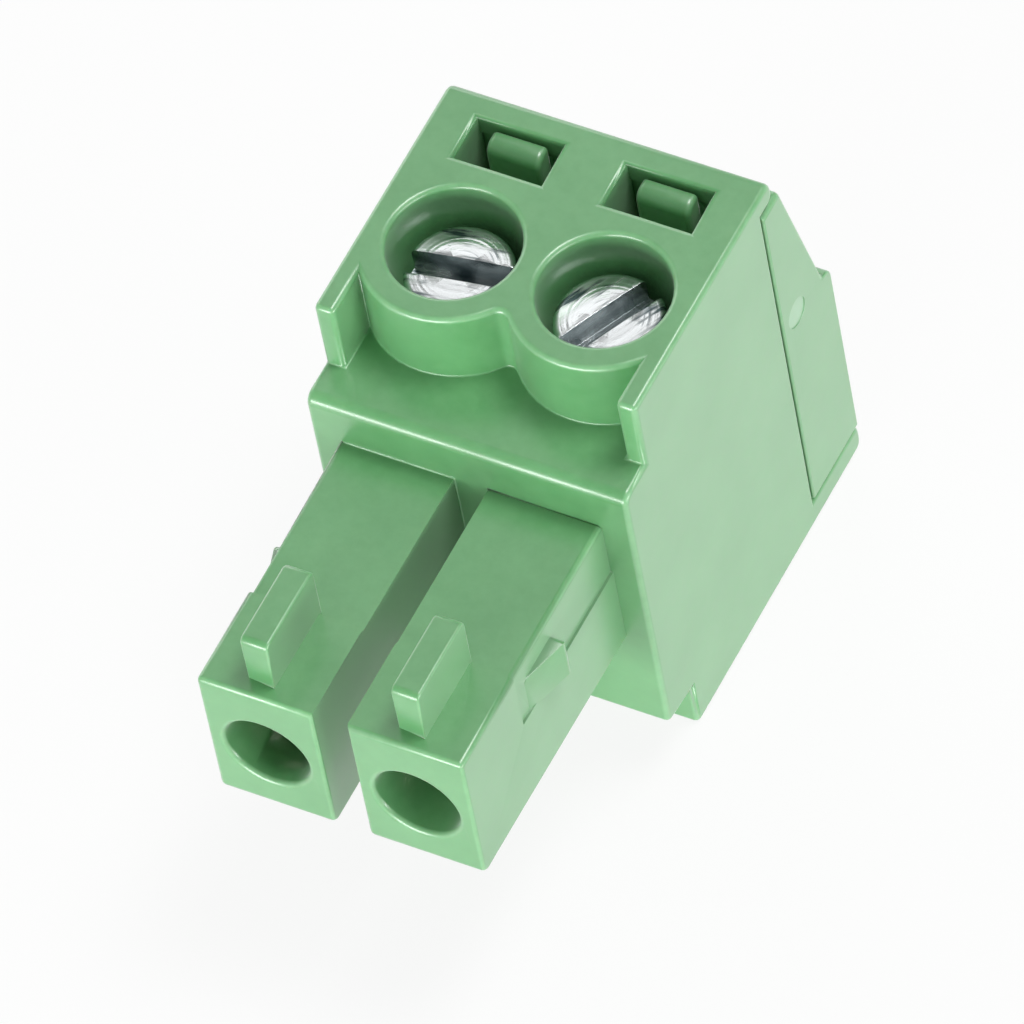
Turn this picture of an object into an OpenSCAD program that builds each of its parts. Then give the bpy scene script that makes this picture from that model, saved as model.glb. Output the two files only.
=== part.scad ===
// Two-pole pluggable screw terminal plug with rising-cage clamps.
// Z is up along the screws, -Y is the plug side, +Y is the wire side, X runs across the poles.

/* [Overall] */
// Distance between the two poles
pitch = 3.5; // [3.4:0.05:3.9]
// Plastic outside the outer edge of each pole cell
end_margin = 0.25; // [0.25:0.05:0.6]
// Height from the flat bottom to the top face
body_h = 11.1; // [10.9:0.1:12.5]
// Length of the body behind the plug towers
body_l = 9; // [8.8:0.1:10]
// Length of the plug towers in front of the body
tower_l = 6.6; // [6.2:0.1:8]

/* [Front of the body] */
// Drop from the top face to the ledge in front of the wells
ledge_drop = 1.9; // [1.4:0.1:2.3]
// Radius of the ledge's front edge
ledge_round = 0.3; // [0.1:0.05:0.5]
// Distance from the front wall back to the cheeks' front ends
cheek_set_back = 0.98; // [0.8:0.05:1.1]
// Thickness of the side cheeks
cheek_t = 0.48; // [0.4:0.02:0.55]
// Height of the step under the front wall
foot_h = 1.25; // [0.9:0.05:1.6]
// Distance from the front wall back to the foot
foot_set_back = 1.05; // [0.6:0.05:1.2]
// Rise of the step's soffit from the foot to the front wall
foot_rise = 0.12; // [0:0.02:0.2]

/* [Screw wells] */
// Distance from the front wall to the screw axes
screw_set_back = 3.55; // [3.45:0.05:3.65]
// Diameter of a screw well
well_d = 2.9; // [2.7:0.05:3]
// Depth of the shoulder that the screw head bears on
well_depth = 2.12; // [2:0.02:2.3]
// Thickness of that shoulder
shoulder_t = 0.43; // [0.3:0.01:0.5]
// Thickness of the half-round boss in front of each well
boss_wall = 0.62; // [0.5:0.02:0.7]
// Radius of the fillet between the two bosses
cleft_fillet = 0.25; // [0.15:0.05:0.6]

/* [Latch windows] */
// Width of a latch window in the top face
window_w = 2.06; // [1.7:0.02:2.3]
// Length of a latch window along the body
window_l = 1.14; // [0.9:0.02:1.2]
// Plastic between a window and the seam plane of the insert
window_rim = 0.04; // [0.04:0.01:0.2]
// Depth of the window pocket
window_depth = 2.12; // [1.6:0.02:2.2]

/* [Rear lips] */
// Distance from the front wall to the seam plane of the wire entry
seam_set_back = 6.76; // [6.7:0.01:6.9]
// Reach of the top lip behind the seam plane
lip_reach = 0.6; // [0.3:0.05:0.75]
// Thickness of the top lip
lip_t = 0.56; // [0.5:0.02:0.8]
// Thickness of the sill under the wire entry
sill_t = 0.7; // [0.5:0.05:0.8]
// Radius of the lips' outer edges
lip_round = 0.24; // [0.05:0.01:0.24]

/* [Plug towers] */
// Width of a tower
tower_w = 2.7; // [2.6:0.05:2.8]
// Height of a tower
tower_h = 3.83; // [3.5:0.05:4.2]
// Height of a tower's underside above the bottom
tower_z = 4.22; // [4.2:0.02:4.4]
// Radius of the tower's lower front edge
tower_round = 0.2; // [0.1:0.05:0.5]
// Distance from the plug face to the shallow step round the tower
step_set_back = 2.4; // [2:0.1:2.8]
// Depth of that step
step_t = 0.06; // [0.04:0.01:0.1]
// Height of the recessed side panel's lower edge above the tower's underside
panel_rise = 2.2; // [1.8:0.1:2.5]
// Diameter of the pin socket
socket_d = 1.95; // [1.7:0.05:2]
// Height of the socket's axis above the tower's underside
socket_rise = 1.83; // [1.75:0.01:1.95]
// Thickness of the plug face round the socket
face_t = 1.3; // [1:0.05:1.5]
// Wall beside the contact in a tower
tunnel_side = 0.25; // [0.25:0.01:0.3]
// Half height of the contact tunnel about the socket's axis
tunnel_half_h = 1.3; // [1.25:0.01:1.35]

/* [Coding ribs] */
// Width of the coding rib
rib_w = 0.65; // [0.5:0.05:0.8]
// Height of the coding rib
rib_h = 1.35; // [1:0.05:1.6]
// Length of the coding rib
rib_l = 2.15; // [1.6:0.05:2.4]
// Distance from the plug face to the rib
rib_set_back = 0.4; // [0.3:0.05:0.6]
// Radius of the rib's upper corners
rib_round = 0.18; // [0.05:0.01:0.3]

/* [Catch nubs] */
// Distance from the plug face to the front of the nub's ramp
nub_set_back = 2.8; // [2.6:0.1:3.2]
// Length of the nub
nub_l = 1.3; // [0.8:0.05:1.5]
// Height of the nub
nub_h = 1.05; // [0.7:0.05:1.2]
// Distance from the panel's lower edge down to the nub's underside
nub_drop = 0.06; // [0.02:0.01:0.2]
// How far the nub stands out from its panel
nub_t = 0.34; // [0.2:0.02:0.4]
// Radius of the nub's crest
nub_round = 0.12; // [0.05:0.01:0.2]
// Radius of the nub's corners, seen from the side
nub_corner = 0.16; // [0.05:0.01:0.3]

/* [Wire entry] */
// Height of the proud frame round the wire openings, above the bottom
frame_top = 6.23; // [6.2:0.05:6.6]
// How far the frame stands behind the foot of the slanted face
frame_t = 0.34; // [0.32:0.01:0.5]
// Drop of the frame's upper face from the slanted face to the frame
frame_fall = 0.12; // [0.05:0.01:0.2]
// Reach of the slanted face's upper edge behind the seam plane
slope_reach = 0.86; // [0.7:0.02:1]
// Gap under the top lip
lip_gap = 0.12; // [0.06:0.01:0.2]
// Set-back of the frame from the sill's rear edge
frame_set_back = 0.02; // [0.02:0.01:0.1]
// Height of the slit between the frame and the sill
foot_slit = 0.1; // [0.04:0.01:0.14]
// Depth of that slit from the rear
foot_slit_l = 1.2; // [0.8:0.05:1.4]
// Plastic that closes the slit at each side
foot_slit_end = 0.12; // [0.1:0.01:0.3]
// Width of a wire opening
mouth_w = 2.8; // [2.6:0.05:2.85]
// Height of a wire opening's lower edge above the bottom
mouth_z = 1.45; // [1.4:0.01:1.5]
// Wall over a wire opening in the frame
mouth_top_t = 0.46; // [0.4:0.02:0.7]
// Height of a wire opening at the inner end of its slanted ceiling
throat_h = 2.72; // [2.6:0.01:2.75]
// Depth of the slanted ceiling
ceiling_l = 2.05; // [1.8:0.05:2.1]
// Radius of the frame's upper edge
frame_round = 0.28; // [0.1:0.01:0.3]

/* [Gate marks] */
// Diameter of the round mark on each side of the wire entry
gate_d = 0.74; // [0.5:0.02:0.9]
// Depth of the mark
gate_depth = 0.02; // [0.01:0.01:0.05]
// Distance from the seam plane to the mark's centre
gate_set_back = 0.68; // [0.5:0.02:0.9]
// Height of the mark's centre above the bottom
gate_z = 6.5; // [4:0.1:8]

/* [Latch tongues] */
// Width of a latch tongue
tongue_w = 1.28; // [1:0.02:1.5]
// Thickness of a latch tongue
tongue_t = 0.5; // [0.4:0.02:0.56]
// Distance from the top face down to the tongue
tongue_drop = 0.22; // [0.1:0.02:0.4]
// Radius of the tongue's upper front edge
tongue_round = 0.3; // [0.1:0.01:0.34]

/* [Cages] */
// Width of a cage
cage_w = 2.7; // [2.6:0.02:2.74]
// Length of a cage along the wire
cage_l = 3.2; // [2.9:0.05:3.3]
// Thickness of a cage's floor
cage_floor_t = 0.5; // [0.4:0.05:0.55]
// Thickness of a cage's threaded top
cage_top_t = 1.1; // [0.9:0.05:1.15]
// Thickness of a cage's side walls
cage_side_t = 0.32; // [0.3:0.01:0.33]
// Radius of a cage's folded outer corners
cage_round = 0.3; // [0.2:0.05:0.35]
// Thickness of the chamber floor under a cage
chamber_floor_t = 0.9; // [0.85:0.01:0.95]

/* [Contacts] */
// Thickness of the current bar that the wire is pressed against
bar_t = 0.4; // [0.3:0.05:0.45]
// Width of the current bar
bar_w = 1.7; // [1.4:0.05:1.74]
// Thickness of the sheet that the socket contact is bent from
spring_t = 0.28; // [0.2:0.02:0.3]
// Gap between the two springs where they grip the pin
spring_gap = 0.7; // [0.5:0.05:0.8]
// Height of the springs
spring_h = 1.5; // [1.2:0.05:1.6]
// Length of the sheet's upright sides at the springs' root
spring_root_l = 1.8; // [1.4:0.1:2.2]
// Distance from the springs' front ends back to where they grip
spring_nose = 0.9; // [0.6:0.05:1.2]
// How far each front end flares out from the grip
spring_flare = 0.22; // [0.1:0.02:0.3]
// Gap between the plug face's wall and the contact
contact_set_back = 0.1; // [0.05:0.05:0.2]
// Distance from the front wall back to the bar's step down
joggle_set_back = 0.35; // [0.3:0.05:0.6]

/* [Screws] */
// Outer diameter of the shank
shank_d = 1.96; // [1.9:0.01:1.98]
// Diameter of the head
head_d = 2.4; // [2.3:0.02:2.46]
// Height of the head
head_h = 1.15; // [1:0.05:1.4]
// Radius of the head's upper rim
head_round = 0.1; // [0.05:0.01:0.2]
// Width of the driver slot
slot_w = 0.58; // [0.4:0.02:0.7]
// Depth of the driver slot
slot_depth = 0.62; // [0.4:0.02:0.7]
// Chamfer at the shank's tip
tip_chamfer = 0.2; // [0.1:0.05:0.3]
// Direction of the first screw's slot, from the X axis
slot_turn_1 = 9; // [0:1:180]
// Direction of the second screw's slot, from the X axis
slot_turn_2 = 63; // [0:1:180]

/* [Clearances] */
// Radial clearance of a shank in its cage
thread_clearance = 0.04; // [0.02:0.01:0.06]
// Radial clearance of a shank in the shoulder
shoulder_clearance = 0.12; // [0.08:0.01:0.16]
// Running clearance beside, in front of and behind a cage
cage_clearance = 0.12; // [0.08:0.01:0.14]
// Clearance under parts that rest on a stop
seat_clearance = 0.03; // [0.02:0.01:0.05]
// Clearance between the wire entry and the housing
seam_clearance = 0.07; // [0.03:0.01:0.08]
// Clearance over the current bar in an open cage
bar_clearance = 0.3; // [0.2:0.02:0.4]

/* [Hidden] */
$fn = 64;
poles = 2;
arc_steps = 6;
over = 1;
housing_green = "#5aa96b";
entry_green = "#62b072";
plated_steel = "#b9bec2";
tinned_bronze = "#c9c3b0";
zinc_screw = "#d4dadd";

body_w = poles * pitch + 2 * end_margin;
overall_l = tower_l + body_l;
plug_y = -overall_l / 2;
front_y = plug_y + tower_l;
rear_y = plug_y + overall_l;
screw_y = front_y + screw_set_back;
seam_y = front_y + seam_set_back;
cheek_y = front_y + cheek_set_back;
ledge_z = body_h - ledge_drop;
lip_z = body_h - lip_t;
shoulder_z = body_h - well_depth;
boss_r = well_d / 2 + boss_wall;

tower_top = tower_z + tower_h;
panel_z = tower_z + panel_rise;
socket_z = tower_z + socket_rise;
step_y = plug_y + step_set_back;
tunnel_y = plug_y + face_t;
tunnel_w = tower_w - 2 * tunnel_side;

chamber_w = cage_w + 2 * cage_clearance;
chamber_front = screw_y - cage_l / 2 - cage_clearance;
guide_y = screw_y + cage_l / 2 + cage_clearance;
chamber_top = shoulder_z - shoulder_t;
cage_z = chamber_floor_t + seat_clearance;
bar_z = mouth_z + throat_h;
bar_top = bar_z + bar_t;
cage_top_z = bar_top + bar_clearance;
cage_h = cage_top_z + cage_top_t - cage_z;
head_z = shoulder_z + seat_clearance;
shank_hole_d = shank_d + 2 * shoulder_clearance;

window_y = seam_y - window_rim;
slope_y = seam_y + slope_reach;
slope_top = lip_z - lip_gap;
frame_y = rear_y - frame_set_back;
mouth_top = frame_top - mouth_top_t;
ceiling_y = frame_y - ceiling_l;

function pole_x(i) = (i - (poles - 1) / 2) * pitch;
function arc(x, y, r, from, to, steps = arc_steps) =
    [for (i = [0:steps]) let (a = from + (to - from) * i / steps) [x + r * cos(a), y + r * sin(a)]];

// A side outline of Y and Z values, drawn out along X and centred
module across(width) {
    rotate([90, 0, 90]) linear_extrude(width, center = true) children();
}

// A box that spans the given width about x
module slab(x, width, y1, y2, z1, z2) {
    translate([x - width / 2, y1, z1]) cube([width, y2 - y1, z2 - z1]);
}

// ---- Housing ----

module body_block() {
    lip_y = seam_y + lip_reach;
    across(body_w) polygon(concat(
        [[front_y + foot_set_back, 0]],
        arc(rear_y - lip_round, lip_round, lip_round, -90, 0),
        arc(rear_y - lip_round, sill_t - lip_round, lip_round, 0, 90),
        [[seam_y, sill_t], [seam_y, lip_z]],
        arc(lip_y - lip_round, lip_z + lip_round, lip_round, -90, 0),
        arc(lip_y - lip_round, body_h - lip_round, lip_round, 0, 90),
        [[cheek_y, body_h], [cheek_y, ledge_z]],
        arc(front_y + ledge_round, ledge_z - ledge_round, ledge_round, 90, 180),
        [[front_y, foot_h + foot_rise], [front_y + foot_set_back, foot_h]]
    ));
}

// Space between the cheeks and in front of the half-round bosses
module front_pocket() {
    inner_x = body_w / 2 - cheek_t;
    cheek_turn = acos((inner_x - pitch / 2) / boss_r);
    cleft_y = screw_y - sqrt(pow(boss_r + cleft_fillet, 2) - pow(pitch / 2, 2));
    cleft_turn = atan2(screw_y - cleft_y, pitch / 2);
    apex_y = screw_y - boss_r * sin(cheek_turn);
    translate([0, 0, ledge_z]) linear_extrude(ledge_drop + over) polygon(concat(
        [[-inner_x, front_y - over], [-inner_x, apex_y]],
        arc(pole_x(0), screw_y, boss_r, 180 + cheek_turn, 360 - cleft_turn, 2 * arc_steps),
        arc(0, cleft_y, cleft_fillet, 180 - cleft_turn, cleft_turn),
        arc(pole_x(1), screw_y, boss_r, 180 + cleft_turn, 360 - cheek_turn, 2 * arc_steps),
        [[inner_x, apex_y], [inner_x, front_y - over]]
    ));
}

module tower_block(x) {
    translate([x, 0, 0]) across(tower_w) polygon(concat(
        arc(plug_y + tower_round, tower_z + tower_round, tower_round, 180, 270),
        [[front_y + over / 2, tower_z], [front_y + over / 2, tower_top - step_t],
         [step_y, tower_top - step_t], [step_y, tower_top], [plug_y, tower_top]]
    ));
}

// Coding rib that stands on a tower near its plug face
module coding_rib(x) {
    y1 = plug_y + rib_set_back;
    y2 = y1 + rib_l;
    top = tower_top + rib_h;
    translate([x, 0, 0]) across(rib_w) polygon(concat(
        [[y1, tower_top - over / 2], [y2, tower_top - over / 2]],
        arc(y2 - rib_round, top - rib_round, rib_round, 0, 90),
        arc(y1 + rib_round, top - rib_round, rib_round, 90, 180)
    ));
}

// Shallow recess over the rear of a tower's outer side; side is 1 or -1
module side_panel(x, side) {
    outer = x + side * tower_w / 2;
    slab(outer, 2 * step_t, step_y, front_y, panel_z, tower_top + over);
}

// Ramp with a rounded crest and corners on a tower's outer side, that snaps into the header
module catch_nub(x, side) {
    base = tower_w / 2 - step_t;
    y1 = plug_y + nub_set_back;
    y2 = y1 + nub_l;
    ramp_turn = atan(nub_t / (nub_l - nub_round));
    z1 = panel_z - nub_drop;
    z2 = z1 + nub_h;
    translate([x, 0, 0]) mirror([side < 0 ? 1 : 0, 0, 0]) intersection() {
        translate([0, 0, z1]) linear_extrude(nub_h) polygon(concat(
            [[base - step_t, y1], [base, y1]],
            arc(base + nub_t - nub_round, y2 - nub_round, nub_round, -ramp_turn, 90),
            [[base - step_t, y2]]
        ));
        rotate([90, 0, 90]) linear_extrude(tower_w) polygon(concat(
            arc(y1 + nub_corner, z1 + nub_corner, nub_corner, 180, 270),
            arc(y2 - nub_corner, z1 + nub_corner, nub_corner, 270, 360),
            arc(y2 - nub_corner, z2 - nub_corner, nub_corner, 0, 90),
            arc(y1 + nub_corner, z2 - nub_corner, nub_corner, 90, 180)
        ));
    }
}

// Well, shank hole and the chamber that the cage climbs in
module screw_space(x) {
    translate([x, screw_y, shoulder_z]) cylinder(d = well_d, h = well_depth + over);
    translate([x, screw_y, chamber_top - over / 2]) cylinder(d = shank_hole_d, h = shoulder_t + over);
    slab(x, chamber_w, chamber_front, seam_y + over / 2, chamber_floor_t, chamber_top);
}

// Round pin socket and the tunnel behind it for the contact
module contact_space(x) {
    translate([x, plug_y - over, socket_z]) rotate([-90, 0, 0]) cylinder(d = socket_d, h = face_t + 2 * over);
    slab(x, tunnel_w, tunnel_y, chamber_front + over / 2, socket_z - tunnel_half_h, socket_z + tunnel_half_h);
    slab(x, tunnel_w, front_y + joggle_set_back, chamber_front + over / 2, bar_z, socket_z);
}

// Window in the top face, open to the rear under the lip
module latch_window(x) {
    y1 = window_y - window_l;
    slab(x, window_w, y1, window_y, body_h - window_depth, body_h + over);
    slab(x, window_w, y1, seam_y + over / 2, body_h - window_depth, lip_z);
}

module housing() {
    color(housing_green) difference() {
        union() {
            difference() {
                union() {
                    body_block();
                    for (i = [0:poles - 1]) {
                        tower_block(pole_x(i));
                        coding_rib(pole_x(i));
                    }
                }
                for (i = [0:poles - 1]) side_panel(pole_x(i), sign(pole_x(i)));
            }
            for (i = [0:poles - 1]) catch_nub(pole_x(i), sign(pole_x(i)));
        }
        front_pocket();
        for (i = [0:poles - 1]) {
            screw_space(pole_x(i));
            contact_space(pole_x(i));
            latch_window(pole_x(i));
        }
    }
}

// ---- Wire entry ----

module entry_block() {
    y1 = seam_y + seam_clearance;
    across(body_w) polygon(concat(
        [[y1, sill_t], [frame_y, sill_t]],
        arc(frame_y - frame_round, frame_top - frame_round, frame_round, 0, 90),
        [[frame_y - frame_t, frame_top + frame_fall], [slope_y, slope_top], [y1, slope_top]]
    ));
}

// Guide behind the cage, over the wire throat
module cage_guide(x) {
    slab(x, chamber_w - 2 * seam_clearance, guide_y, seam_y + over / 2, bar_z, chamber_top - seam_clearance);
}

// Tongue that rises through the housing's window and holds the wire entry in
module latch_tongue(x) {
    y2 = window_y - seam_clearance;
    y1 = y2 - tongue_t;
    z1 = body_h - window_depth + seam_clearance;
    top = body_h - tongue_drop;
    translate([x, 0, 0]) across(tongue_w) polygon(concat(
        [[y1, z1], [seam_y + over / 2, z1], [seam_y + over / 2, slope_top - lip_gap],
         [y2, slope_top - lip_gap], [y2, top]],
        arc(y1 + tongue_round, top - tongue_round, tongue_round, 90, 180)
    ));
}

// Rectangular funnel with a slanted ceiling, carried on as the wire throat
module wire_funnel(x) {
    flare = (mouth_top - bar_z) / ceiling_l;
    translate([x, 0, 0]) across(mouth_w) polygon([
        [guide_y - over, mouth_z], [frame_y + over, mouth_z], [frame_y + over, mouth_top + over * flare],
        [ceiling_y, bar_z], [guide_y - over, bar_z]
    ]);
}

// Slit between the frame and the sill, closed at both sides
module frame_slit() {
    y1 = frame_y - foot_slit_l;
    slab(0, body_w - 2 * foot_slit_end, y1, frame_y + over, sill_t - over, sill_t + foot_slit);
}

// Shallow round marks in both sides
module gate_marks() {
    translate([0, seam_y + gate_set_back, gate_z]) rotate([0, 90, 0]) {
        translate([0, 0, body_w / 2 - gate_depth]) cylinder(d = gate_d, h = over);
        translate([0, 0, -body_w / 2 - over + gate_depth]) cylinder(d = gate_d, h = over);
    }
}

module wire_entry() {
    color(entry_green) difference() {
        union() {
            entry_block();
            for (i = [0:poles - 1]) {
                cage_guide(pole_x(i));
                latch_tongue(pole_x(i));
            }
        }
        for (i = [0:poles - 1]) wire_funnel(pole_x(i));
        frame_slit();
        gate_marks();
    }
}

// ---- Contacts ----

// Current bar, joggled up to the floor of the socket contact
module contact_strip() {
    floor_z = socket_z - tunnel_half_h;
    y1 = tunnel_y + contact_set_back;
    joggle_y = front_y + joggle_set_back + seat_clearance;
    bar_end = guide_y - seat_clearance;
    across(bar_w) polygon([
        [y1, floor_z], [joggle_y, floor_z], [joggle_y, bar_z], [bar_end, bar_z], [bar_end, bar_top],
        [joggle_y + bar_t, bar_top], [joggle_y + bar_t, floor_z + spring_t], [y1, floor_z + spring_t]
    ]);
}

// One side of the socket contact: a wall whose front end bends in to grip the pin
module contact_side(side) {
    outer = tunnel_w / 2 - seat_clearance;
    y1 = tunnel_y + contact_set_back;
    grip = spring_gap / 2;
    floor_z = socket_z - tunnel_half_h;
    mirror([side < 0 ? 1 : 0, 0, 0]) {
        translate([0, 0, socket_z - spring_h / 2]) linear_extrude(spring_h) polygon([
            [outer, front_y], [outer, front_y - spring_root_l], [grip + spring_t, y1 + spring_nose],
            [grip + spring_t + spring_flare, y1], [grip + spring_flare, y1], [grip, y1 + spring_nose],
            [outer - spring_t, front_y - spring_root_l], [outer - spring_t, front_y]
        ]);
        translate([outer - spring_t, front_y - spring_root_l, floor_z])
            cube([spring_t, spring_root_l, socket_z + spring_h / 2 - floor_z]);
    }
}

module contact(i) {
    translate([pole_x(i), 0, 0]) {
        contact_strip();
        contact_base();
        contact_side(1);
        contact_side(-1);
    }
}

// Wide floor that joins the strip to both sides
module contact_base() {
    slab(0, tunnel_w - 2 * seat_clearance, front_y - spring_root_l, front_y,
        socket_z - tunnel_half_h, socket_z - tunnel_half_h + spring_t);
}

module contact_1() {
    color(tinned_bronze) contact(0);
}

module contact_2() {
    color(tinned_bronze) contact(1);
}

// ---- Cages ----

// Folded steel cage, open along the wire, with a threaded top
module cage(i) {
    half_w = cage_w / 2;
    top = cage_z + cage_h;
    translate([pole_x(i), screw_y, 0]) difference() {
        rotate([90, 0, 0]) linear_extrude(cage_l, center = true) difference() {
            polygon(concat(
                arc(half_w - cage_round, cage_z + cage_round, cage_round, -90, 0),
                arc(half_w - cage_round, top - cage_round, cage_round, 0, 90),
                arc(cage_round - half_w, top - cage_round, cage_round, 90, 180),
                arc(cage_round - half_w, cage_z + cage_round, cage_round, 180, 270)
            ));
            translate([cage_side_t - half_w, cage_z + cage_floor_t])
                square([cage_w - 2 * cage_side_t, cage_top_z - cage_z - cage_floor_t]);
        }
        translate([0, 0, cage_top_z - over / 2])
            cylinder(d = shank_d + 2 * thread_clearance, h = cage_top_t + over);
    }
}

module cage_1() {
    color(plated_steel) cage(0);
}

module cage_2() {
    color(plated_steel) cage(1);
}

// ---- Screws ----

module screw(i, slot_turn) {
    tip = bar_top + seat_clearance;
    top = head_z + head_h;
    translate([pole_x(i), screw_y, 0]) difference() {
        rotate_extrude() polygon(concat(
            [[0, tip], [shank_d / 2 - tip_chamfer, tip], [shank_d / 2, tip + tip_chamfer],
             [shank_d / 2, head_z], [head_d / 2, head_z]],
            arc(head_d / 2 - head_round, top - head_round, head_round, 0, 90),
            [[0, top]]
        ));
        rotate([0, 0, slot_turn]) translate([-head_d, -slot_w / 2, top - slot_depth])
            cube([2 * head_d, slot_w, slot_depth + over]);
    }
}

module screw_1() {
    color(zinc_screw) screw(0, slot_turn_1);
}

module screw_2() {
    color(zinc_screw) screw(1, slot_turn_2);
}

housing();
wire_entry();
contact_1();
contact_2();
cage_1();
cage_2();
screw_1();
screw_2();
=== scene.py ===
import math

import bmesh
import bpy
from mathutils import Matrix, Vector


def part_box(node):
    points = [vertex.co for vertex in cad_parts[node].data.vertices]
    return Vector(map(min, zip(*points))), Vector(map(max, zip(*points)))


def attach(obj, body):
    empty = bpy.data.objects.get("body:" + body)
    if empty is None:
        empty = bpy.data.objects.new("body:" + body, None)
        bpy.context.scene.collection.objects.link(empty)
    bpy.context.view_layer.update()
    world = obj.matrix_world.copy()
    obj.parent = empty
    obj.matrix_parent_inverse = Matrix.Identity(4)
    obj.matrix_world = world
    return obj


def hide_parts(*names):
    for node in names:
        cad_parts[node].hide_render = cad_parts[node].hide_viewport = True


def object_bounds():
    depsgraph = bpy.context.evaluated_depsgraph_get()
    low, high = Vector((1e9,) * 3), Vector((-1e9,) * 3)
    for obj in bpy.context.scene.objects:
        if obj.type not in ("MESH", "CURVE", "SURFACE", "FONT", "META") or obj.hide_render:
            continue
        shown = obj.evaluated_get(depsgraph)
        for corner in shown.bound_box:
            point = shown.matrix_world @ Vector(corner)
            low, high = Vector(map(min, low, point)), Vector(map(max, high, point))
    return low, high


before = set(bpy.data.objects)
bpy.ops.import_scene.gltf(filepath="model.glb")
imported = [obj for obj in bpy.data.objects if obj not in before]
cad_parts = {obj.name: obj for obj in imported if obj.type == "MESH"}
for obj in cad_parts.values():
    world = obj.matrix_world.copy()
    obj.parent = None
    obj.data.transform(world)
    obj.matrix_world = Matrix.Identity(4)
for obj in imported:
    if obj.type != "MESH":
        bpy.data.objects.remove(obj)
cadLow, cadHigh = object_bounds()
mm = 0.001

print("terminal block: frame loaded")


# selecting

def deselectAll():
    if bpy.context.object and bpy.context.object.mode == "EDIT":
        bpy.ops.object.mode_set(mode="OBJECT")
    bpy.ops.object.select_all(action="DESELECT")


def makeActive(piece):
    deselectAll()
    piece.select_set(True)
    bpy.context.view_layer.objects.active = piece


def applyModifiers(piece):
    makeActive(piece)
    for modifier in list(piece.modifiers):
        bpy.ops.object.modifier_apply(modifier=modifier.name)


def settle(piece):
    # the place goes into the mesh, and the object stays at the origin
    makeActive(piece)
    bpy.ops.object.transform_apply(location=True, rotation=True, scale=True)


def cutWith(piece, tool, operation):
    boolean = piece.modifiers.new("Boolean", "BOOLEAN")
    boolean.operation = operation
    boolean.object = tool
    boolean.solver = "EXACT"
    applyModifiers(piece)
    deselectAll()
    tool.select_set(True)
    bpy.ops.object.delete()


def editEdges(piece, wanted):
    # edit mode with only the wanted edges selected
    makeActive(piece)
    bpy.ops.object.mode_set(mode="EDIT")
    bpy.ops.mesh.select_mode(type="EDGE")
    bpy.ops.mesh.select_all(action="DESELECT")
    shape = bmesh.from_edit_mesh(piece.data)
    for edge in shape.edges:
        if wanted(edge):
            edge.select_set(True)
    bmesh.update_edit_mesh(piece.data)


def editFaces(piece, wanted):
    makeActive(piece)
    bpy.ops.object.mode_set(mode="EDIT")
    bpy.ops.mesh.select_mode(type="FACE")
    bpy.ops.mesh.select_all(action="DESELECT")
    shape = bmesh.from_edit_mesh(piece.data)
    for face in shape.faces:
        if wanted(face):
            face.select_set(True)
    bmesh.update_edit_mesh(piece.data)


def flattenShading(piece, angle):
    makeActive(piece)
    bpy.ops.object.shade_smooth_by_angle(angle=angle)
    flatten = piece.modifiers.new("WeightedNormal", "WEIGHTED_NORMAL")
    flatten.keep_sharp = True
    flatten.weight = 100
    applyModifiers(piece)


# moulded and stamped pieces

cadCopy = {
    "mergeDistance": 0.0008 * mm,
    "flatAngle": math.radians(0.4),    # triangles that turn less become one face
}

mouldedEdges = {
    "sharpAngle": math.radians(25),
    "sameLine": math.radians(32),      # neighbours that turn less are one line
    "bentLine": math.radians(4),       # a line that turns more has arcs, which limit its radius
    "openRoom": 1.0,                   # where nothing limits a line yet
    "widest": 0.32 * mm,
    "radius": 0.13 * mm,
    "innerShare": 0.3,                 # inner corners are tighter than outer ones
    "ownRadius": [                     # low corner, high corner and radius in mm
        ((-3.8, -1.3, 9.1), (3.8, -1.1, 9.3), 0.32),
        ((-3.8, -6.6, 4.3), (3.8, -6.4, 7.9), 0),
        ((-3.8, 4.0, 4.1), (3.8, 5.7, 4.2), 0),
    ],
    "least": 0.03 * mm,                # a line with less room stays sharp
    "seamY": 5.56 * mm,
    "seamShare": 0.45,                 # both sides of the seam stay crisp
    "seamReach": 0.08 * mm,
    "roomShare": 0.42,
    "arcShare": 0.6,
    "widthShare": 0.4,                 # of the narrower face beside the edge
    "segments": 3,
    "smoothAngle": math.radians(40),
}

stampedEdges = {**mouldedEdges, "widest": 0.05 * mm, "radius": 0.05 * mm, "innerShare": 0.5,
                "ownRadius": [], "least": 0, "seamShare": 1, "segments": 2}


def mergedCopy(nodeName, pieceName):
    piece = bpy.data.objects.new(pieceName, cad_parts[nodeName].data.copy())
    bpy.context.scene.collection.objects.link(piece)
    piece.data.materials.clear()
    makeActive(piece)
    bpy.ops.object.mode_set(mode="EDIT")
    bpy.ops.mesh.select_all(action="SELECT")
    bpy.ops.mesh.remove_doubles(threshold=cadCopy["mergeDistance"])
    bpy.ops.mesh.dissolve_limited(angle_limit=cadCopy["flatAngle"])
    bpy.ops.object.mode_set(mode="OBJECT")
    return piece


def turnBetween(first, second, corner):
    ahead = (second.other_vert(corner).co - corner.co).normalized()
    behind = (corner.co - first.other_vert(corner).co).normalized()
    return ahead.angle(behind, 0.0)


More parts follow.
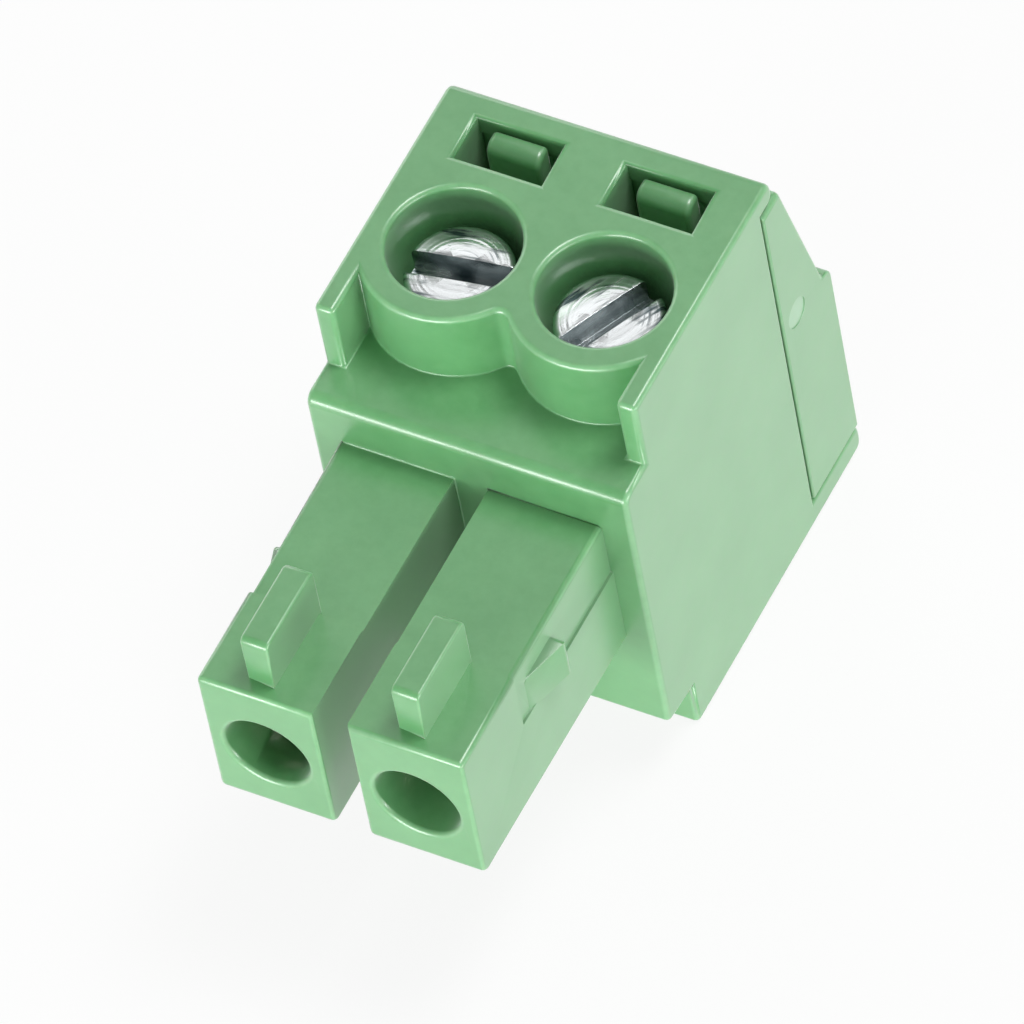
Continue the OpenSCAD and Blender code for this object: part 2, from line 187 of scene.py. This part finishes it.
def roomAtEdges(shape, settings):
    # sharp edges are joined into lines; neighbours, arcs and narrow faces limit each line's radius
    sharp = [e for e in shape.edges if e.is_manifold and e.calc_face_angle(0) > settings["sharpAngle"]]
    lineOf = {e: e for e in sharp}

    def lineStart(edge):
        while lineOf[edge] is not edge:
            edge = lineOf[edge]
        return edge

    arcRoom = {}
    for corner in shape.verts:
        here = [e for e in corner.link_edges if e in lineOf]
        for i, first in enumerate(here):
            for second in here[i + 1:]:
                turn = turnBetween(first, second, corner)
                if turn < settings["sameLine"]:
                    lineOf[lineStart(first)] = lineStart(second)
                    if turn > settings["bentLine"]:
                        arc = settings["arcShare"] * min(first.calc_length(), second.calc_length()) / turn
                        for e in (first, second):
                            arcRoom[e] = min(arc, arcRoom.get(e, settings["openRoom"]))
    length = {}
    for e in sharp:
        length[lineStart(e)] = length.get(lineStart(e), 0) + e.calc_length()
    room = {start: settings["openRoom"] for start in length}
    for corner in shape.verts:
        meeting = {lineStart(e) for e in corner.link_edges if e in lineOf}
        for own in meeting:
            for other in meeting - {own}:
                room[own] = min(room[own], settings["roomShare"] * length[other])
    for e, arc in arcRoom.items():
        room[lineStart(e)] = min(room[lineStart(e)], arc)
    for e in sharp:
        width = min(face.calc_area() for face in e.link_faces) / e.calc_length()
        room[lineStart(e)] = min(room[lineStart(e)], settings["widthShare"] * width)
    return {e: room[lineStart(e)] for e in sharp}


def markRoundings(piece):
    # the middle of each outward rounding is 1, so the material can paint a pale highlight along it
    shape = bmesh.new()
    shape.from_mesh(piece.data)
    tone = shape.verts.layers.float.new("paintedEdgeHighlight")
    for corner in shape.verts:
        rounded = all(face.material_index == 1 for face in corner.link_faces)
        outward = sum(edge.calc_face_angle_signed(0) for edge in corner.link_edges) > 0
        corner[tone] = 1.0 if rounded and outward else 0.0
    for face in shape.faces:
        face.material_index = 0
    shape.to_mesh(piece.data)
    shape.free()


def roundEdges(piece, settings):
    shape = bmesh.new()
    shape.from_mesh(piece.data)
    weights = shape.edges.layers.float.new("bevel_weight_edge")
    for edge, room in roomAtEdges(shape, settings).items():
        radius = settings["radius"]
        for low, high, own in settings["ownRadius"]:
            if all(low[i] < v.co[i] / mm < high[i] for v in edge.verts for i in range(3)):
                radius = own * mm
        if edge.calc_face_angle_signed(0) < 0:
            radius *= settings["innerShare"]
        if all(abs(v.co.y - settings["seamY"]) < settings["seamReach"] for v in edge.verts):
            radius *= settings["seamShare"]
        if room > settings["least"]:
            edge[weights] = min(radius, room) / settings["widest"]
    shape.to_mesh(piece.data)
    shape.free()
    for _ in range(2):                 # slot 1 marks the new faces
        piece.data.materials.append(None)
    bevel = piece.modifiers.new("Bevel", "BEVEL")
    bevel.limit_method = "WEIGHT"
    bevel.width = settings["widest"]
    bevel.segments = settings["segments"]
    bevel.use_clamp_overlap = False
    bevel.loop_slide = False
    bevel.miter_outer = "MITER_SHARP"
    bevel.material = 1
    applyModifiers(piece)
    markRoundings(piece)
    piece.data.materials.clear()
    flattenShading(piece, settings["smoothAngle"])


housing = mergedCopy("housing", "green_housing")
roundEdges(housing, mouldedEdges)
wireEntry = mergedCopy("wire_entry", "green_wire_entry")
roundEdges(wireEntry, mouldedEdges)
print("moulded pieces: edges rounded", len(housing.data.polygons), len(wireEntry.data.polygons))

# screws

screwOne = {
    "headHeight": 1.15 * mm,
    "sides": 96,
    "rimRadius": 0.13 * mm,
    "rimSegments": 5,
    "crown": ((0.30 * mm, 0.012 * mm), (0.40 * mm, 0.010 * mm)),   # inset and rise of each ring
    "slotWidth": 0.58 * mm,
    "slotDepth": 0.62 * mm,
    "slotEdge": 0.025 * mm,
    "slotEdgeSegments": 2,
    "slotEdgeAngle": math.radians(45),
    "slotTurns": (9, 63),              # degrees from the x axis
    "cutterHeight": 1 * mm,
    "coreRadius": 0.80 * mm,
    "ridgeRadius": 0.98 * mm,
    "ridgeBase": 0.30 * mm,
    "ridgeCrest": 0.06 * mm,
    "ridgeSink": 0.03 * mm,            # the ridge and the shank run a little into what carries them
    "shankSink": 0.05 * mm,
    "pitch": 0.4 * mm,
    "turns": 10,
    "stepsPerTurn": 40,
    "tipChamfer": 0.2 * mm,
    "tipBevelShare": 0.6,
    "smoothAngle": math.radians(35),
    "reach": 0.001 * mm,               # how near a point counts as at a height
}


def turnedHead(settings, radius, top):
    deselectAll()
    height = settings["headHeight"]
    bpy.ops.mesh.primitive_cylinder_add(vertices=settings["sides"], radius=radius, depth=height,
                                        end_fill_type="NGON", location=(0, 0, top - height / 2))
    piece = bpy.context.object
    settle(piece)
    editEdges(piece, lambda e: all(abs(v.co.z - top) < settings["reach"] for v in e.verts))
    bpy.ops.mesh.bevel(offset=settings["rimRadius"], segments=settings["rimSegments"], affect="EDGES")
    editFaces(piece, lambda f: f.normal.z > 0.9 and len(f.verts) > 8)      # the flat top, and not the rim
    for inset, rise in settings["crown"]:
        bpy.ops.mesh.inset(thickness=inset)
        bpy.ops.transform.translate(value=(0, 0, rise))
    bpy.ops.object.mode_set(mode="OBJECT")
    crownRise = sum(rise for inset, rise in settings["crown"])
    deselectAll()
    cutterHeight = settings["cutterHeight"]
    bpy.ops.mesh.primitive_cube_add(size=1, location=(0, 0, top + cutterHeight / 2 - settings["slotDepth"]))
    slot = bpy.context.object
    slot.scale = (4 * radius, settings["slotWidth"], cutterHeight)
    settle(slot)
    cutWith(piece, slot, "DIFFERENCE")
    piece.data.transform(Matrix.Translation((0, 0, -crownRise)))
    edges = piece.modifiers.new("Bevel", "BEVEL")
    edges.width = settings["slotEdge"]
    edges.segments = settings["slotEdgeSegments"]
    edges.limit_method = "ANGLE"
    edges.angle_limit = settings["slotEdgeAngle"]
    applyModifiers(piece)
    return piece


def threadRidge(settings, low, inner, outer):
    deselectAll()
    bpy.ops.mesh.primitive_plane_add(size=1, location=(0, 0, 0))
    ridge = bpy.context.object
    half = {inner: settings["ridgeBase"] / 2, outer: settings["ridgeCrest"] / 2}
    for corner in ridge.data.vertices:
        side = outer if corner.co.x > 0 else inner
        up = 1 if corner.co.y > 0 else -1
        corner.co = (side, 0, low + settings["ridgeBase"] / 2 + up * half[side])
    editFaces(ridge, lambda f: True)
    bpy.ops.mesh.delete(type="ONLY_FACE")
    bpy.ops.object.mode_set(mode="OBJECT")
    winding = ridge.modifiers.new("Screw", "SCREW")
    winding.axis = "Z"
    winding.angle = math.radians(360)
    winding.screw_offset = settings["pitch"]
    winding.iterations = settings["turns"]
    winding.steps = winding.render_steps = settings["stepsPerTurn"]
    winding.use_normal_calculate = True
    applyModifiers(ridge)
    editEdges(ridge, lambda e: e.is_boundary)
    bpy.ops.mesh.fill_holes(sides=4)
    bpy.ops.mesh.select_all(action="SELECT")
    bpy.ops.mesh.normals_make_consistent(inside=False)
    bpy.ops.object.mode_set(mode="OBJECT")
    return ridge


def threadedShank(settings, low, high):
    deselectAll()
    bpy.ops.mesh.primitive_cylinder_add(vertices=settings["stepsPerTurn"] * 2, radius=settings["coreRadius"],
                                        depth=high - low, location=(0, 0, (low + high) / 2))
    core = bpy.context.object
    settle(core)
    editEdges(core, lambda e: all(abs(v.co.z - low) < settings["reach"] for v in e.verts))
    tipBevel = settings["tipChamfer"] * settings["tipBevelShare"]
    bpy.ops.mesh.bevel(offset=tipBevel, segments=1, affect="EDGES")
    bpy.ops.object.mode_set(mode="OBJECT")
    ridgeFoot = settings["coreRadius"] - settings["ridgeSink"]
    ridge = threadRidge(settings, low + settings["tipChamfer"], ridgeFoot, settings["ridgeRadius"])
    cutWith(core, ridge, "UNION")
    return core


def separateCopy(piece, name, place, turn=0):
    copy = piece.copy()
    copy.data = piece.data.copy()
    copy.name = name
    bpy.context.scene.collection.objects.link(copy)
    copy.location = place
    copy.rotation_euler = (0, 0, math.radians(turn))
    settle(copy)
    return copy


screwLow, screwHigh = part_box("screw_1")
screwRadius = (screwHigh.x - screwLow.x) / 2
headBottom = screwHigh.z - screwOne["headHeight"]
head = turnedHead(screwOne, screwRadius, screwHigh.z)
shank = threadedShank(screwOne, screwLow.z, headBottom + screwOne["shankSink"])
screws = []
for number, slotTurn in enumerate(screwOne["slotTurns"], 1):
    low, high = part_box("screw_%d" % number)
    axis = Vector(((low.x + high.x) / 2, (low.y + high.y) / 2, 0))
    ownHead = separateCopy(head, "head", axis, slotTurn)
    ownShank = separateCopy(shank, "shank", axis)
    cutWith(ownHead, ownShank, "UNION")
    ownHead.name = "zinc_screw_%d" % number
    flattenShading(ownHead, screwOne["smoothAngle"])
    screws.append((ownHead, axis, slotTurn))
for template in (head, shank):
    makeActive(template)
    bpy.ops.object.delete()
print("screws: heads and threads", [len(piece.data.polygons) for piece, axis, turn in screws])

# cages

cageFloor = {
    "floorTop": 1.43 * mm,
    "sideThickness": 0.32 * mm,
    "toothSize": 0.11 * mm,
    "toothHeight": 0.09 * mm,
    "toothPitch": 0.34 * mm,
    "teeth": 8,
    "sideSink": 0.04 * mm,             # the teeth run a little into the cage's sides
    "smoothAngle": math.radians(35),
}


def gripTeeth(settings, low, high):
    # a row of low ridges across the cage's floor, which bite into the wire
    deselectAll()
    middle = (low + high) / 2
    run = (settings["teeth"] - 1) * settings["toothPitch"]
    width = high.x - low.x - 2 * settings["sideThickness"] + settings["sideSink"]
    bpy.ops.mesh.primitive_cylinder_add(
        vertices=3, radius=settings["toothSize"], depth=width, rotation=(0, math.radians(90), 0),
        location=(middle.x, middle.y - run / 2, settings["floorTop"]))
    teeth = bpy.context.object
    settle(teeth)
    top = max(v.co.z for v in teeth.data.vertices)
    teeth.data.transform(Matrix.Translation((0, 0, settings["floorTop"] + settings["toothHeight"] - top)))
    row = teeth.modifiers.new("Array", "ARRAY")
    row.use_relative_offset = False
    row.use_constant_offset = True
    row.constant_offset_displace = (0, settings["toothPitch"], 0)
    row.count = settings["teeth"]
    applyModifiers(teeth)
    return teeth


cageOne = mergedCopy("cage_1", "steel_cage_1")
cageLow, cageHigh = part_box("cage_1")
roundEdges(cageOne, stampedEdges)
cutWith(cageOne, gripTeeth(cageFloor, cageLow, cageHigh), "UNION")
flattenShading(cageOne, cageFloor["smoothAngle"])
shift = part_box("cage_2")[0] - cageLow
cageTwo = separateCopy(cageOne, "steel_cage_2", shift)
cages = (cageOne, cageTwo)
contacts = [mergedCopy("contact_%d" % number, "bronze_contact_%d" % number) for number in (1, 2)]
for contact in contacts:
    roundEdges(contact, stampedEdges)
print("cages and contacts", len(cageOne.data.polygons), len(contacts[0].data.polygons))

# materials


def newMaterial(name):
    material = bpy.data.materials.new(name)
    material.use_nodes = True
    nodes = material.node_tree.nodes
    return material, nodes, material.node_tree.links, nodes["Principled BSDF"]


def addNoise(nodes, links, vector, size, detail=2, roughness=0.5):
    noise = nodes.new("ShaderNodeTexNoise")
    noise.inputs["Scale"].default_value = 1 / size
    noise.inputs["Detail"].default_value = detail
    noise.inputs["Roughness"].default_value = roughness
    links.new(vector, noise.inputs["Vector"])
    return noise.outputs["Fac"]


def addRange(nodes, links, value, fromLow, fromHigh, toLow, toHigh):
    span = nodes.new("ShaderNodeMapRange")
    ends = {"From Min": fromLow, "From Max": fromHigh, "To Min": toLow, "To Max": toHigh}
    for name, number in ends.items():
        span.inputs[name].default_value = number
    links.new(value, span.inputs["Value"])
    return span.outputs["Result"]


def addMath(nodes, links, operation, first, second):
    result = nodes.new("ShaderNodeMath")
    result.operation = operation
    for socket, value in zip(result.inputs, (first, second)):
        if isinstance(value, (int, float)):
            socket.default_value = value
        else:
            links.new(value, socket)
    return result.outputs[0]


def addBlend(nodes, links, factor, first, second):
    blend = nodes.new("ShaderNodeMix")
    blend.data_type = "RGBA"
    links.new(factor, blend.inputs["Factor"])
    for socket, color in ((blend.inputs["A"], first), (blend.inputs["B"], second)):
        if isinstance(color, tuple):
            socket.default_value = color
        else:
            links.new(color, socket)
    return blend.outputs["Result"]


def addBump(nodes, links, height, shader, settings):
    bump = nodes.new("ShaderNodeBump")
    bump.inputs["Strength"].default_value = settings["bump"]
    bump.inputs["Distance"].default_value = settings["bumpHeight"]
    links.new(height, bump.inputs["Height"])
    links.new(bump.outputs["Normal"], shader.inputs["Normal"])


greenPolyamide = {
    "deep": (0.100, 0.338, 0.118, 1),
    "pale": (0.130, 0.388, 0.148, 1),
    # pale green of the painted highlight along outward roundings
    "edge": (0.215, 0.490, 0.235, 1),
    "edgeHighlightShare": 0.8,
    "edgeHighlightLeast": 0.6,                  # of that share, where the mottling is low
    "gate": (0.36, 0.60, 0.40, 1),     # pale disc where the mould was filled
    "gatePlace": (6.24 * mm, 6.5 * mm),
    "gateRadius": 0.33 * mm,
    "gateEdge": 0.06 * mm,
    "gateShare": 0.55,
    "gateSide": 3.7 * mm,              # only what lies further out than this along x
    "cloudSize": 1.7 * mm,
    "cloudRange": (0.36, 0.64),
    "mottleSize": 0.28 * mm,
    "mottleRange": (0.3, 0.7),
    "mottleShare": 0.45,
    "grainSize": 0.05 * mm,
    "roughness": (0.34, 0.46),
    "bump": 0.18,
    "bumpHeight": 0.008 * mm,
    "specular": 0.7,
    "coat": 1.0,
    "coatRoughness": 0.28,
    "coatIndex": 1.55,
    "sheen": 0.5,
    "sheenRoughness": 0.35,
    "sheenTint": (0.92, 1.0, 0.93, 1),
    "subsurface": 0.08,
    "subsurfaceScale": 0.5 * mm,
}


def gateDisc(nodes, links, place, settings):
    # round spots on both side faces, seen along x
    centred = nodes.new("ShaderNodeVectorMath")
    centred.operation = "SUBTRACT"
    centred.inputs[1].default_value = (0, *settings["gatePlace"])
    links.new(place, centred.inputs[0])
    across = nodes.new("ShaderNodeVectorMath")
    across.operation = "MULTIPLY"
    across.inputs[1].default_value = (0, 1, 1)
    links.new(centred.outputs["Vector"], across.inputs[0])
    reach = nodes.new("ShaderNodeVectorMath")
    reach.operation = "LENGTH"
    links.new(across.outputs["Vector"], reach.inputs[0])
    radius = settings["gateRadius"]
    disc = addRange(nodes, links, reach.outputs["Value"], radius, radius + settings["gateEdge"],
                    settings["gateShare"], 0)
    sideways = nodes.new("ShaderNodeSeparateXYZ")
    links.new(place, sideways.inputs["Vector"])
    outside = addMath(nodes, links, "GREATER_THAN",
                      addMath(nodes, links, "ABSOLUTE", sideways.outputs["X"], 0), settings["gateSide"])
    return addMath(nodes, links, "MULTIPLY", disc, outside)


def mouldedGreen(name, settings):
    material, nodes, links, shader = newMaterial(name)
    place = nodes.new("ShaderNodeTexCoord").outputs["Object"]
    cloud = addNoise(nodes, links, place, settings["cloudSize"], detail=4)
    mottle = addNoise(nodes, links, place, settings["mottleSize"], detail=3, roughness=0.6)
    grain = addNoise(nodes, links, place, settings["grainSize"])
    both = addMath(nodes, links, "ADD",
                   addMath(nodes, links, "MULTIPLY", cloud, 1 - settings["mottleShare"]),
                   addMath(nodes, links, "MULTIPLY", mottle, settings["mottleShare"]))
    skin = addBlend(nodes, links, addRange(nodes, links, both, *settings["cloudRange"], 0, 1),
                    settings["deep"], settings["pale"])
    paintedEdgeHighlight = nodes.new("ShaderNodeAttribute")
    paintedEdgeHighlight.attribute_name = "paintedEdgeHighlight"
    most = settings["edgeHighlightShare"]
    least = settings["edgeHighlightLeast"] * most
    # painted highlight along the outward roundings, patchy with the mottling
    edgeHighlightMask = addMath(nodes, links, "MULTIPLY", paintedEdgeHighlight.outputs["Fac"],
                   addRange(nodes, links, mottle, *settings["mottleRange"], least, most))
    withEdgeHighlight = addBlend(nodes, links, edgeHighlightMask, skin, settings["edge"])
    links.new(addBlend(nodes, links, gateDisc(nodes, links, place, settings), withEdgeHighlight, settings["gate"]),
              shader.inputs["Base Color"])
    links.new(addRange(nodes, links, mottle, *settings["mottleRange"], *settings["roughness"]),
              shader.inputs["Roughness"])
    addBump(nodes, links, grain, shader, settings)
    shader.inputs["Specular IOR Level"].default_value = settings["specular"]
    shader.inputs["Coat Weight"].default_value = settings["coat"]
    shader.inputs["Coat Roughness"].default_value = settings["coatRoughness"]
    shader.inputs["Coat IOR"].default_value = settings["coatIndex"]
    shader.inputs["Sheen Weight"].default_value = settings["sheen"]
    shader.inputs["Sheen Roughness"].default_value = settings["sheenRoughness"]
    shader.inputs["Sheen Tint"].default_value = settings["sheenTint"]
    shader.inputs["Subsurface Weight"].default_value = settings["subsurface"]
    shader.inputs["Subsurface Scale"].default_value = settings["subsurfaceScale"]
    return material


brightZinc = {
    "pale": (0.84, 0.87, 0.88, 1),
    # dark teal of the painted reflections
    "dull": (0.10, 0.14, 0.15, 1),
    "slotShade": (0.13, 0.18, 0.19, 1),
    "slotFrom": 0.06 * mm,             # below the head's top, painted shade darkens the slot
    "slotTo": 0.35 * mm,
    "slotRange": (0.42, 0.60),         # of the streaks, which leave some of the slot bright
    "slotLeast": 0.3,
    "streakLength": 3.0 * mm,
    "streakWidth": 0.2 * mm,
    "streakShare": 0.62,               # the rest of a mark comes from the broad patches
    "patchSize": 0.8 * mm,
    "patchShare": 0.38,
    "markRange": (0.535, 0.61),        # higher leaves fewer dark marks
    "ringWidth": 0.11 * mm,
    "ringRange": (0.56, 0.66),
    "ringPatches": (0.5, 0.6),         # rings are dark only inside some patches
    "ringShare": 0.8,
    "grainSize": 0.05 * mm,
    "grainShare": 0.2,
    "roughRange": (0.35, 0.65),
    "roughness": (0.14, 0.30),
    "bump": 0.4,
    "bumpHeight": 0.014 * mm,
}


def streakedZinc(name, settings, axis, turn, top):
    # painted dark reflections, in streaks along the slot and in rings round the axis
    material, nodes, links, shader = newMaterial(name)
    place = nodes.new("ShaderNodeTexCoord").outputs["Object"]
    along = nodes.new("ShaderNodeMapping")
    along.vector_type = "TEXTURE"
    along.inputs["Location"].default_value = axis
    along.inputs["Rotation"].default_value = (0, 0, math.radians(turn))
    length, width = settings["streakLength"], settings["streakWidth"]
    along.inputs["Scale"].default_value = (length, width, length)
    links.new(place, along.inputs["Vector"])
    streak = addNoise(nodes, links, along.outputs["Vector"], 1, detail=3, roughness=0.6)
    fromAxis = nodes.new("ShaderNodeMapping")
    fromAxis.vector_type = "TEXTURE"
    fromAxis.inputs["Location"].default_value = axis
    links.new(place, fromAxis.inputs["Vector"])
    flat = nodes.new("ShaderNodeVectorMath")
    flat.operation = "MULTIPLY"
    flat.inputs[1].default_value = (1, 1, 0)
    links.new(fromAxis.outputs["Vector"], flat.inputs[0])
    reach = nodes.new("ShaderNodeVectorMath")
    reach.operation = "LENGTH"
    links.new(flat.outputs["Vector"], reach.inputs[0])
    ring = nodes.new("ShaderNodeTexNoise")
    ring.noise_dimensions = "1D"
    ring.inputs["Scale"].default_value = 1 / settings["ringWidth"]
    ring.inputs["Detail"].default_value = 1
    links.new(reach.outputs["Value"], ring.inputs["W"])
    patches = addNoise(nodes, links, place, settings["patchSize"])
    grain = addNoise(nodes, links, place, settings["grainSize"])
    mixed = addMath(nodes, links, "ADD",
                    addMath(nodes, links, "MULTIPLY", streak, settings["streakShare"]),
                    addMath(nodes, links, "MULTIPLY", patches, settings["patchShare"]))
    # the dark marks are painted reflections
    dark = addRange(nodes, links, mixed, *settings["markRange"], 0, 1)
    arcs = addMath(nodes, links, "MULTIPLY",
                   addRange(nodes, links, ring.outputs["Fac"], *settings["ringRange"], 0, 1),
                   addRange(nodes, links, patches, *settings["ringPatches"], 0, settings["ringShare"]))
    tint = addBlend(nodes, links, addMath(nodes, links, "MAXIMUM", dark, arcs),
                    settings["pale"], settings["dull"])
    height = nodes.new("ShaderNodeSeparateXYZ")
    links.new(place, height.inputs["Vector"])
    # painted shade down in the slot, lighter where the streaks run
    inSlot = addRange(nodes, links, height.outputs["Z"], top - settings["slotTo"], top - settings["slotFrom"],
                      1, 0)
    paintedSlotShade = addMath(nodes, links, "MULTIPLY", inSlot,
                    addRange(nodes, links, streak, *settings["slotRange"], 1, settings["slotLeast"]))
    links.new(addBlend(nodes, links, paintedSlotShade, tint, settings["slotShade"]), shader.inputs["Base Color"])
    links.new(addRange(nodes, links, streak, *settings["roughRange"], *settings["roughness"]),
              shader.inputs["Roughness"])
    relief = addMath(nodes, links, "ADD", addMath(nodes, links, "ADD", streak, ring.outputs["Fac"]),
                     addMath(nodes, links, "MULTIPLY", grain, settings["grainShare"]))
    addBump(nodes, links, relief, shader, settings)
    shader.inputs["Metallic"].default_value = 1
    return material


nickelSteel = {
    "pale": (0.72, 0.71, 0.67, 1),
    "dull": (0.50, 0.49, 0.46, 1),
    "grain": (3.0 * mm, 0.08 * mm, 0.08 * mm),
    "grainRange": (0.3, 0.7),
    "cloudSize": 0.6 * mm,
    "cloudRange": (0.35, 0.65),
    "roughness": (0.22, 0.42),
    "bump": 0.2,
    "bumpHeight": 0.006 * mm,
}

tinnedBronze = {
    "pale": (0.80, 0.79, 0.74, 1),
    "dull": (0.66, 0.58, 0.44, 1),
    "grain": (0.08 * mm, 2.4 * mm, 0.08 * mm),
    "grainRange": (0.3, 0.7),
    "cloudSize": 0.6 * mm,
    "cloudRange": (0.35, 0.65),
    "roughness": (0.26, 0.44),
    "bump": 0.15,
    "bumpHeight": 0.005 * mm,
}


def rolledMetal(name, settings):
    # rolling grain runs along the strip
    material, nodes, links, shader = newMaterial(name)
    place = nodes.new("ShaderNodeTexCoord").outputs["Object"]
    along = nodes.new("ShaderNodeMapping")
    along.vector_type = "TEXTURE"
    along.inputs["Scale"].default_value = settings["grain"]
    links.new(place, along.inputs["Vector"])
    grain = addNoise(nodes, links, along.outputs["Vector"], 1, detail=3)
    cloud = addNoise(nodes, links, place, settings["cloudSize"], detail=3)
    tint = addBlend(nodes, links, addRange(nodes, links, cloud, *settings["cloudRange"], 0, 1),
                    settings["dull"], settings["pale"])
    links.new(tint, shader.inputs["Base Color"])
    links.new(addRange(nodes, links, grain, *settings["grainRange"], *settings["roughness"]),
              shader.inputs["Roughness"])
    addBump(nodes, links, grain, shader, settings)
    shader.inputs["Metallic"].default_value = 1
    return material


housing.data.materials.append(mouldedGreen("greenHousingPolyamide", greenPolyamide))
wireEntry.data.materials.append(mouldedGreen("greenEntryPolyamide", greenPolyamide))
for number, (screw, axis, slotTurn) in enumerate(screws, 1):
    zinc = streakedZinc("brightZinc%d" % number, brightZinc, axis, slotTurn, screwHigh.z)
    screw.data.materials.append(zinc)
cageSteel = rolledMetal("nickelPlatedSteel", nickelSteel)
for cage in cages:
    cage.data.materials.append(cageSteel)
contactBronze = rolledMetal("tinnedBronze", tinnedBronze)
for contact in contacts:
    contact.data.materials.append(contactBronze)

# standing for the CAD nodes

dressed = [(housing, "housing", "housing_green", "root"), (wireEntry, "wire_entry", "entry_green", "root")]
for number, (screw, cage, contact) in enumerate(zip(screws, cages, contacts), 1):
    dressed.append((screw[0], "screw_%d" % number, "zinc_screw", "screw_body_%d" % number))
    dressed.append((cage, "cage_%d" % number, "plated_steel", "cage_body_%d" % number))
    dressed.append((contact, "contact_%d" % number, "tinned_bronze", "root"))
for piece, nodeName, slotName, bodyName in dressed:
    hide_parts(nodeName)
    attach(piece, bodyName)

# floor, light and camera

studio = {
    "floorSize": 12,
    "floorHeight": -0.02 * mm,
    "floorColor": (0.86, 0.87, 0.86, 1),
    "floorRoughness": 0.8,
    "floorWhite": 0.88,                # the rest of the floor's tone is lit, and holds the shadow
    "mirroredWhite": 0.5,              # the same as gloss shows it
    "worldColor": (1, 1, 1, 1),
    "worldStrength": 0.3,
}


def addFloor(settings):
    deselectAll()
    bpy.ops.mesh.primitive_plane_add(size=settings["floorSize"], location=(0, 0, settings["floorHeight"]))
    floor = bpy.context.object
    floor.name = "studio_floor"
    material, nodes, links, shader = newMaterial("studioFloor")
    shader.inputs["Base Color"].default_value = settings["floorColor"]
    shader.inputs["Roughness"].default_value = settings["floorRoughness"]
    rays = nodes.new("ShaderNodeLightPath")
    seen = addMath(nodes, links, "MULTIPLY", rays.outputs["Is Camera Ray"], settings["floorWhite"])
    mirrored = addMath(nodes, links, "MAXIMUM",
                       rays.outputs["Is Glossy Ray"], rays.outputs["Is Transmission Ray"])
    white = nodes.new("ShaderNodeEmission")
    mix = nodes.new("ShaderNodeMixShader")
    shown = addMath(nodes, links, "MULTIPLY", mirrored, settings["mirroredWhite"])
    links.new(addMath(nodes, links, "MAXIMUM", seen, shown), mix.inputs["Fac"])
    links.new(shader.outputs["BSDF"], mix.inputs[1])
    links.new(white.outputs["Emission"], mix.inputs[2])
    links.new(mix.outputs["Shader"], nodes["Material Output"].inputs["Surface"])
    floor.data.materials.append(material)


def addWorld(settings):
    world = bpy.data.worlds.new("studioWorld")
    bpy.context.scene.world = world
    world.use_nodes = True
    soft = world.node_tree.nodes["Background"]
    soft.inputs["Color"].default_value = settings["worldColor"]
    soft.inputs["Strength"].default_value = settings["worldStrength"]


softboxes = {                          # places and sizes in mm
    "overhead": {"place": (65, 60, 245), "size": (95, 95), "watts": 0.34},
    "window": {"place": (-136, 200, 320), "size": (112, 112), "watts": 0.036},   # what the screws mirror
    "right": {"place": (260, -30, 28), "size": (190, 50), "watts": 0.33},
    "front": {"place": (-30, -260, 28), "size": (210, 50), "watts": 0.64},
    "rear": {"place": (-190, 180, 95), "size": (300, 150), "watts": 0.24},
}


def addSoftbox(name, settings, target):
    lamp = bpy.data.lights.new(name, "AREA")
    lamp.shape = "RECTANGLE"
    lamp.size, lamp.size_y = (side * mm for side in settings["size"])
    lamp.energy = settings["watts"]
    box = bpy.data.objects.new(name, lamp)
    bpy.context.scene.collection.objects.link(box)
    box.location = Vector(settings["place"]) * mm
    box.rotation_euler = (box.location - target).to_track_quat("Z", "Y").to_euler()


camera = {
    "place": (115.1, -158.2, 260.0),   # mm
    "aim": (0.0, 0.0, 5.5),
    "roll": -11.9,                     # degrees
    "lens": 540,
    "sensor": 36,
}


def addCamera(settings):
    data = bpy.data.cameras.new("studioCamera")
    data.lens = settings["lens"]
    data.sensor_width = settings["sensor"]
    holder = bpy.data.objects.new("studioCamera", data)
    bpy.context.scene.collection.objects.link(holder)
    place, aim = Vector(settings["place"]) * mm, Vector(settings["aim"]) * mm
    look = (place - aim).to_track_quat("Z", "Y").to_matrix().to_4x4()
    roll = Matrix.Rotation(math.radians(settings["roll"]), 4, "Z")
    holder.matrix_world = Matrix.Translation(place) @ look @ roll
    bpy.context.scene.camera = holder


middle = (cadLow + cadHigh) / 2
addFloor(studio)
addWorld(studio)
for name, settings in softboxes.items():
    addSoftbox(name, settings, middle)
addCamera(camera)
bpy.context.scene.view_settings.view_transform = "Standard"
print("studio: floor, world, softboxes and camera")
